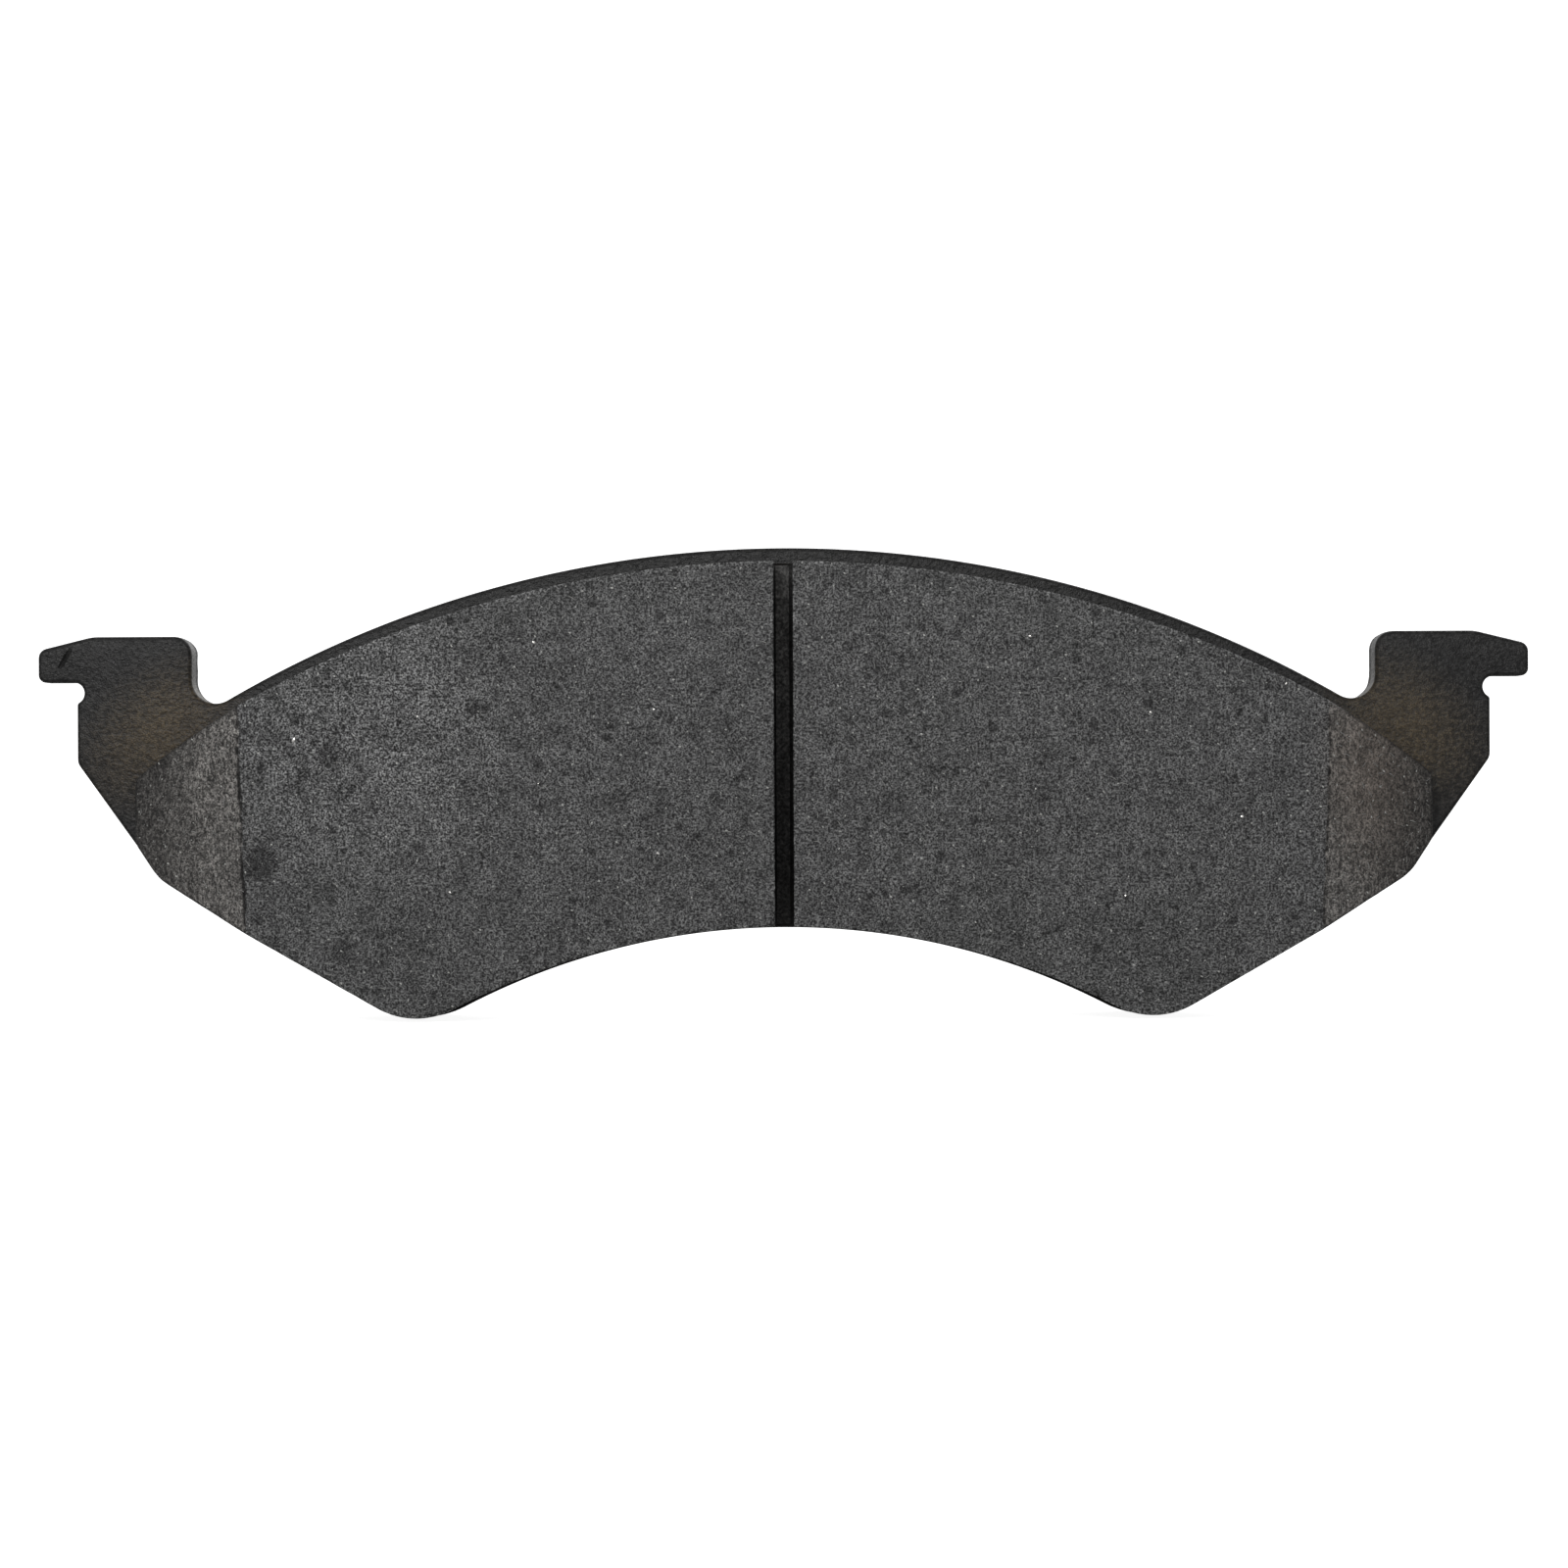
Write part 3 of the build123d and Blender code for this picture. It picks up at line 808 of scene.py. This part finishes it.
def scatter_tree(name, grain_nodes):
    """Geometry nodes that scatter one small grain over a block's ground surfaces."""
    tree = bpy.data.node_groups.new(name, "GeometryNodeTree")
    tree.is_modifier = True
    kinds = {"Geometry": "Geometry", "Spacing": "Float", "Length": "Float", "Radius": "Float",
             "Clearance": "Float", "Seed": "Int", "Finish": "Material"}
    for label, kind in kinds.items():
        tree.interface.new_socket(label, in_out="INPUT", socket_type=f"NodeSocket{kind}")
    tree.interface.new_socket("Geometry", in_out="OUTPUT", socket_type="NodeSocketGeometry")

    def node(kind, inputs=None, **settings):
        made = tree.nodes.new(kind)
        for key, value in settings.items():
            setattr(made, key, value)
        for key, value in (inputs or {}).items():
            if isinstance(value, bpy.types.NodeSocket):
                tree.links.new(value, made.inputs[key])
            else:
                made.inputs[key].default_value = value
        return made

    given = node("NodeGroupInput").outputs
    clearance = node("GeometryNodeInputNamedAttribute", {"Name": "clearance"}).outputs["Attribute"]
    ground = node("FunctionNodeCompare", {0: clearance, 1: given["Clearance"]}).outputs[0]
    points = node("GeometryNodeDistributePointsOnFaces",
                  {"Mesh": given["Geometry"], "Selection": ground, "Distance Min": given["Spacing"],
                   "Density Max": 1e7, "Seed": given["Seed"]}, distribute_method="POISSON")
    size = node("FunctionNodeRandomValue", {2: 0.45, 3: 1.4, "Seed": given["Seed"]}).outputs[1]
    placed = node("GeometryNodeInstanceOnPoints",
                  {"Points": points.outputs["Points"], "Instance": grain_nodes(node, given),
                   "Rotation": points.outputs["Rotation"], "Scale": size})
    turn = node("FunctionNodeRandomValue", {2: 0.0, 3: 2 * math.pi, "Seed": given["Seed"]}).outputs[1]
    about_normal = node("ShaderNodeCombineXYZ", {"Z": turn}).outputs[0]
    turned = node("GeometryNodeRotateInstances", {"Instances": placed.outputs[0], "Rotation": about_normal})
    real = node("GeometryNodeRealizeInstances", {"Geometry": turned.outputs[0]}).outputs[0]
    coloured = node("GeometryNodeSetMaterial", {"Geometry": real, "Material": given["Finish"]})
    node("NodeGroupOutput", {"Geometry": coloured.outputs[0]})
    return tree


def curved_fibre(node, given):
    """A short bowed fibre, mostly sunk in the surface."""
    half = node("ShaderNodeMath", {0: given["Length"], 1: 0.5}, operation="MULTIPLY").outputs[0]
    sunk = node("ShaderNodeMath", {0: given["Radius"], 1: -0.45}, operation="MULTIPLY").outputs[0]
    back = node("ShaderNodeMath", {0: half, 1: -1.0}, operation="MULTIPLY").outputs[0]
    bow = node("ShaderNodeMath", {0: half, 1: 0.3}, operation="MULTIPLY").outputs[0]
    start = node("ShaderNodeCombineXYZ", {"X": back, "Z": sunk}).outputs[0]
    middle = node("ShaderNodeCombineXYZ", {"Y": bow, "Z": sunk}).outputs[0]
    end = node("ShaderNodeCombineXYZ", {"X": half, "Z": sunk}).outputs[0]
    line = node("GeometryNodeCurveQuadraticBezier",
                {"Resolution": 5, "Start": start, "Middle": middle, "End": end}).outputs[0]
    section = node("GeometryNodeCurvePrimitiveCircle",
                   {"Resolution": 5, "Radius": given["Radius"]}).outputs[0]
    return node("GeometryNodeCurveToMesh",
                {"Curve": line, "Profile Curve": section, "Fill Caps": True}).outputs[0]


def flat_chip(node, given):
    """A flat chip, longer than wide, lying in the surface."""
    stone = node("GeometryNodeMeshIcoSphere", {"Radius": given["Radius"], "Subdivisions": 1}).outputs[0]
    squashed = node("GeometryNodeTransform", {"Geometry": stone, "Scale": (1.5, 0.9, 0.4)})
    return squashed.outputs[0]


def scattered(block, name, tree, **sizes):
    """Grains on one block as a plain mesh that rides with it."""
    piece = bpy.data.objects.new(name, block.data.copy())
    bpy.context.scene.collection.objects.link(piece)
    modifier = piece.modifiers.new("scatter", "NODES")
    modifier.node_group = tree
    for socket in tree.interface.items_tree:
        if socket.name in sizes:
            modifier[socket.identifier] = sizes[socket.name]
    depsgraph = bpy.context.evaluated_depsgraph_get()
    mesh = bpy.data.meshes.new_from_object(piece.evaluated_get(depsgraph), depsgraph=depsgraph)
    piece.modifiers.clear()
    piece.data = mesh
    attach(piece, "root")
    return piece


CHIP_HALF_SIZES = (0.19, 0.1, 0.32)
CHIP_SLANT = 0.09


def exposed_chip(block, name, x, z, finish):
    """One larger steel chip laid bare by the grinding, jagged in outline."""
    bm = bmesh.new()
    bmesh.ops.create_icosphere(bm, subdivisions=2, radius=1.0)
    surface = min(block.data.vertices, key=lambda v: math.dist((v.co.x, v.co.z), (x * MM, z * MM))).co.y
    half_width, half_depth, half_height = CHIP_HALF_SIZES
    for vertex in bm.verts:
        jag = 1 + 0.35 * noise.noise(2 * vertex.co + Vector((x, 0, z)))
        across, deep, up = (c * jag for c in vertex.co)
        in_x = x * MM + (half_width * across + CHIP_SLANT * up) * MM
        vertex.co = (in_x, surface + half_depth * deep * MM, (z + half_height * up) * MM)
    chip = finished_piece(bm, name, [finish])
    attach(chip, "root")


def grain_finish(name, dark, light, roughness, metallic):
    """Finish of one kind of grain, uneven from grain to grain."""
    material, shader, place = new_material(name, roughness, specular=0.4)
    shader.inputs["Metallic"].default_value = metallic
    tone = noise_of(material, place, size=0.8, detail=1.0)
    colour = ramp(material, tone, [(0.3, dark), (0.7, light)])
    material.node_tree.links.new(colour, shader.inputs["Base Color"])
    bumped(material, shader, noise_of(material, place, size=0.1, detail=1.0), depth=0.01)
    return material


# The ground face's edges get a painted highlight (edge 0.4). The bevel's edges get painted shade (edge -1.3).
friction_materials = [
    ground_friction("ground_friction", (0.062, 0.062, 0.062), graphite=0.42, stretch=(1, 1, 1), edge=0.4),
    moulded_mix("moulded_friction", level=0.045, roughness=0.75),
    ground_friction("bevelled_friction", (0.090, 0.0855, 0.081), graphite=0.7, stretch=(0.9, 1, 1.4),
                    edge=-1.3),
    # A darker copy of the moulded mix (level 0.016 against 0.045) for the slot's walls, as painted shade.
    moulded_mix("slot_wall_friction_in_painted_shade", level=0.016, roughness=0.9),
]
fibre_tree = scatter_tree("chopped_fibres", curved_fibre)
chip_tree = scatter_tree("metal_chips", flat_chip)
fibre_finish = grain_finish("mineral_fibre", (0.09, 0.09, 0.088), (0.21, 0.208, 0.2),
                            roughness=0.6, metallic=0.0)
grit_finish = grain_finish("mineral_grit", (0.14, 0.14, 0.135), (0.4, 0.4, 0.38),
                           roughness=0.5, metallic=0.0)
steel_finish = grain_finish("steel_chip", (0.5, 0.49, 0.47), (0.85, 0.83, 0.8),
                            roughness=0.3, metallic=1.0)
for side, place_name in ((-1, "left"), (1, "right")):
    block = finished_piece(friction_block(side), f"friction_{place_name}_ground", friction_materials)
    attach(block, "root")
    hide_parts(f"friction_block_{place_name}")
    seed = 5 + side
    scattered(block, f"fibres_{place_name}", fibre_tree, Spacing=1.25 * MM, Length=0.6 * MM,
              Radius=0.045 * MM, Clearance=0.5, Seed=seed, Finish=fibre_finish)
    scattered(block, f"grit_{place_name}", chip_tree, Spacing=1.7 * MM, Radius=0.085 * MM,
              Clearance=0.2, Seed=seed + 10, Finish=grit_finish)
    scattered(block, f"steel_chips_{place_name}", chip_tree, Spacing=15.0 * MM, Radius=0.11 * MM,
              Clearance=0.4, Seed=seed + 20, Finish=steel_finish)
    if side < 0:
        exposed_chip(block, "exposed_chip_left", x=-53.6, z=0.69, finish=steel_finish)

# ------------------------------------------------------------------------------------------------
# Shim
# Cold-rolled steel coated with nitrile rubber on both sides and glued to the plate. It is blanked
# as one sandwich, so its edge shows rubber, steel, rubber and adhesive.

SCUFF_ANGLE = math.radians(52)
SCRATCH_ANGLE = math.radians(-20)


def rubber_coating():
    """Matte black rubber with a fine calendered grain, wiping smears, scuffs and specks of dust."""
    material, shader, place = new_material("shim_rubber", roughness=0.6, specular=0.4)
    grain = noise_of(material, place, size=0.25, detail=2.0)
    clouds = noise_of(material, place, size=11.0, detail=4.0)
    smears = noise_of(material, place, size=3.0, detail=5.0, stretch=(7, 1, 0.6))
    inputs = {"Vector": place, "Rotation": (0, SCUFF_ANGLE, 0)}
    rising = add_node(material, "ShaderNodeMapping", inputs).outputs[0]
    scuffs = noise_of(material, rising, size=0.35, detail=1.0, stretch=(45, 1, 1))
    inputs = {"Vector": place, "Rotation": (0, SCRATCH_ANGLE, 0)}
    falling = add_node(material, "ShaderNodeMapping", inputs).outputs[0]
    scratches = noise_of(material, falling, size=0.22, detail=0.0, stretch=(60, 1, 1))
    where = noise_of(material, place, size=22.0, detail=1.0)
    rubbed = ranged(material, maths(material, "MAXIMUM", scuffs, scratches), 0.66, 0.76, 0.0, 1.0)
    rubbed = product(material, rubbed, ranged(material, where, 0.42, 0.6, 0.15, 1.0))
    specks = spots_of(material, place, spacing=2.6, largest=0.22, softness=0.08)
    dust = product(material, specks, ranged(material, clouds, 0.45, 0.6, 0.1, 0.7))
    shade = product(material,
                    ranged(material, grain, 0.3, 0.7, 0.7, 1.3),
                    ranged(material, clouds, 0.3, 0.7, 0.7, 1.3),
                    ranged(material, smears, 0.3, 0.7, 0.8, 1.25))
    colour = mixed(material, 1.0, (0.024, 0.024, 0.0255), shade, "MULTIPLY")
    colour = mixed(material, product(material, rubbed, 0.55), colour, (0.085, 0.084, 0.082))
    colour = mixed(material, dust, colour, (0.14, 0.135, 0.125))
    material.node_tree.links.new(colour, shader.inputs["Base Color"])
    gloss = maths(material, "ADD", product(material, smears, 0.4), product(material, clouds, 0.4))
    gloss = ranged(material, gloss, 0.25, 0.55, 0.4, 0.72)
    material.node_tree.links.new(gloss, shader.inputs["Roughness"])
    bumped(material, shader, maths(material, "SUBTRACT", grain, rubbed), depth=0.05)
    return material


def sheared_steel():
    """Bright steel edge with fine shear lines across its thickness."""
    material, shader, place = new_material("shim_steel_edge", roughness=0.4, specular=0.5)
    shader.inputs["Metallic"].default_value = 1.0
    lines = noise_of(material, place, size=0.3, detail=2.0, stretch=(1, 8, 1))
    colour = ramp(material, lines, [(0.3, (0.25, 0.25, 0.26)), (0.7, (0.45, 0.45, 0.46))])
    material.node_tree.links.new(colour, shader.inputs["Base Color"])
    bumped(material, shader, lines, depth=0.04)
    return material


shim_finishes = {"shim_outer_rubber": rubber_coating(), "shim_steel": sheared_steel()}
shim_finishes["shim_inner_rubber"] = shim_finishes["shim_outer_rubber"]
shim_glue = cured_adhesive("shim_glue", (0.12, 0.11, 0.10), (0.2, 0.19, 0.17), roughness=0.5)
shim_finishes["shim_adhesive"] = shim_glue
for node, finish in shim_finishes.items():
    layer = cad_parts[node]
    layer.data.materials.clear()
    layer.data.materials.append(finish)

# ------------------------------------------------------------------------------------------------
# Studio
# A white floor that glows like a light table, a white surround that is dimmer on the side of the
# rubbing face, two soft lights in front of the pad and one behind it, and the camera.

CAMERA_DISTANCE = 438.0
CAMERA_HEIGHT = -4.4
CAMERA_ROLL = math.radians(0.28)
LENS = 89.75
FLOOR_RADIUS = 4000.0

floor_z = box_mm("backing_plate")[0].z
bpy.ops.mesh.primitive_circle_add(vertices=96, radius=FLOOR_RADIUS * MM, fill_type="NGON")
floor = bpy.context.object
floor.name = "studio_floor"
floor.data.transform(Matrix.Translation((0, 0, floor_z * MM)))
floor_paint, shader, place = new_material("floor_paint", roughness=0.9, specular=0.1)
drift = noise_of(floor_paint, place, size=300.0, detail=2.0)
floor_paint.node_tree.links.new(ranged(floor_paint, drift, 0.3, 0.7, 0.34, 0.36), shader.inputs["Base Color"])
shader.inputs["Emission Color"].default_value = (1, 1, 1, 1)
seen = add_node(floor_paint, "ShaderNodeLightPath").outputs["Is Camera Ray"]
glow = ranged(floor_paint, seen, 0.0, 1.0, 0.1, 0.92)
floor_paint.node_tree.links.new(glow, shader.inputs["Emission Strength"])
floor.data.materials.append(floor_paint)

world = bpy.data.worlds.new("studio")
bpy.context.scene.world = world
world.use_nodes = True
surround = world.node_tree.nodes["Background"]
surround.inputs["Color"].default_value = (1, 1, 1, 1)
direction = add_node(world, "ShaderNodeTexCoord").outputs["Generated"]
ahead = add_node(world, "ShaderNodeSeparateXYZ", {0: direction}).outputs["Y"]
glow = ranged(world, ahead, 0.1, 0.95, 0.4, 1.4)
seen = add_node(world, "ShaderNodeLightPath").outputs["Is Camera Ray"]
world.node_tree.links.new(maths(world, "MAXIMUM", seen, glow), surround.inputs["Strength"])


def soft_light(name, power, size, place):
    """Square soft box aimed at the pad; place and size in metres."""
    light = bpy.data.lights.new(name, "AREA")
    light.energy = power
    light.size = size
    lamp = bpy.data.objects.new(name, light)
    lamp.location = place
    lamp.rotation_euler = (-Vector(place)).to_track_quat("-Z", "Y").to_euler()
    bpy.context.scene.collection.objects.link(lamp)


soft_light("key", power=1.2, size=0.18, place=(-0.13, -0.38, 0.24))
soft_light("front", power=0.4, size=0.12, place=(0.03, -0.62, 0.16))
soft_light("back", power=2.2, size=0.30, place=(0.32, 0.42, 0.36))

camera = bpy.data.objects.new("camera", bpy.data.cameras.new("camera"))
camera.data.sensor_width = 36.0
camera.data.lens = LENS
camera.data.clip_start = 0.01
camera.location = (0, (plate_front - CAMERA_DISTANCE) * MM, CAMERA_HEIGHT * MM)
camera.rotation_euler = (math.pi / 2, CAMERA_ROLL, 0)
bpy.context.scene.collection.objects.link(camera)
bpy.context.scene.camera = camera
bpy.context.scene.view_settings.view_transform = "Standard"
